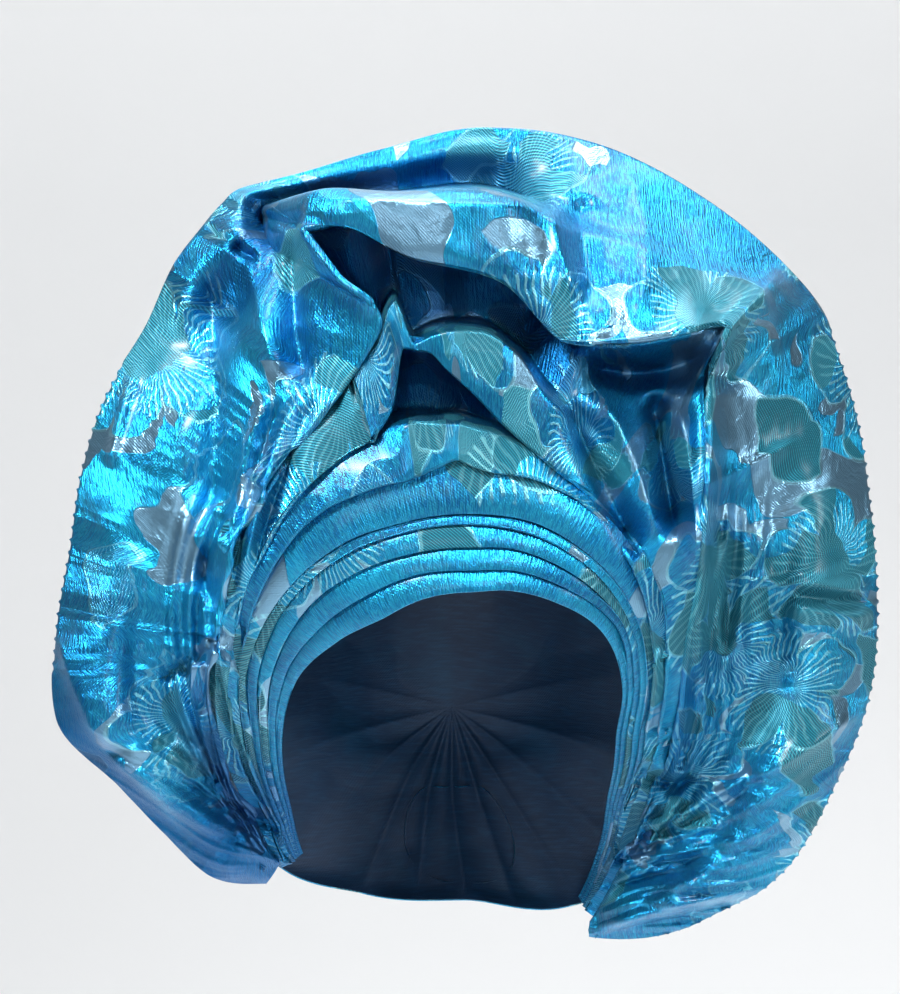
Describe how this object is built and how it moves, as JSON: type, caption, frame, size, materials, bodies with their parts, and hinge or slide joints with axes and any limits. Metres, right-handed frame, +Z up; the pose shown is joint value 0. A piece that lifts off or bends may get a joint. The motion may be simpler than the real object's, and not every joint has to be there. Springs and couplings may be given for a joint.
{
  "type": "tied gele head tie",
  "caption": "Tied head wrap of stiff metallic cloth: stacked brow pleats, deep crown folds and a wide round fan.",
  "frame": {"origin": "the seat: middle of the head opening, level with the temples, where the wearer's head goes in", "axes": "+Z up along the wearer's head, -Y the way the wearer faces, +X towards the wearer's left"},
  "size_m": [0.3619, 0.2075, 0.3593],
  "materials": {
    "satin": "metallic satin with a fine weave",
    "brocade": "metallic brocade with woven petals and leaves",
    "plain": "matt satin"
  },
  "bodies": {
    "root": {"brow_band": "satin", "brow_pleat_1": "satin", "brow_pleat_2": "satin", "brow_pleat_3": "satin", "brow_pleat_4": "brocade", "low_crown_fold": "brocade", "high_crown_fold": "brocade", "fan": "brocade", "head_wrap": "plain", "nape_knot": "plain"}
  },
  "joints": []
}
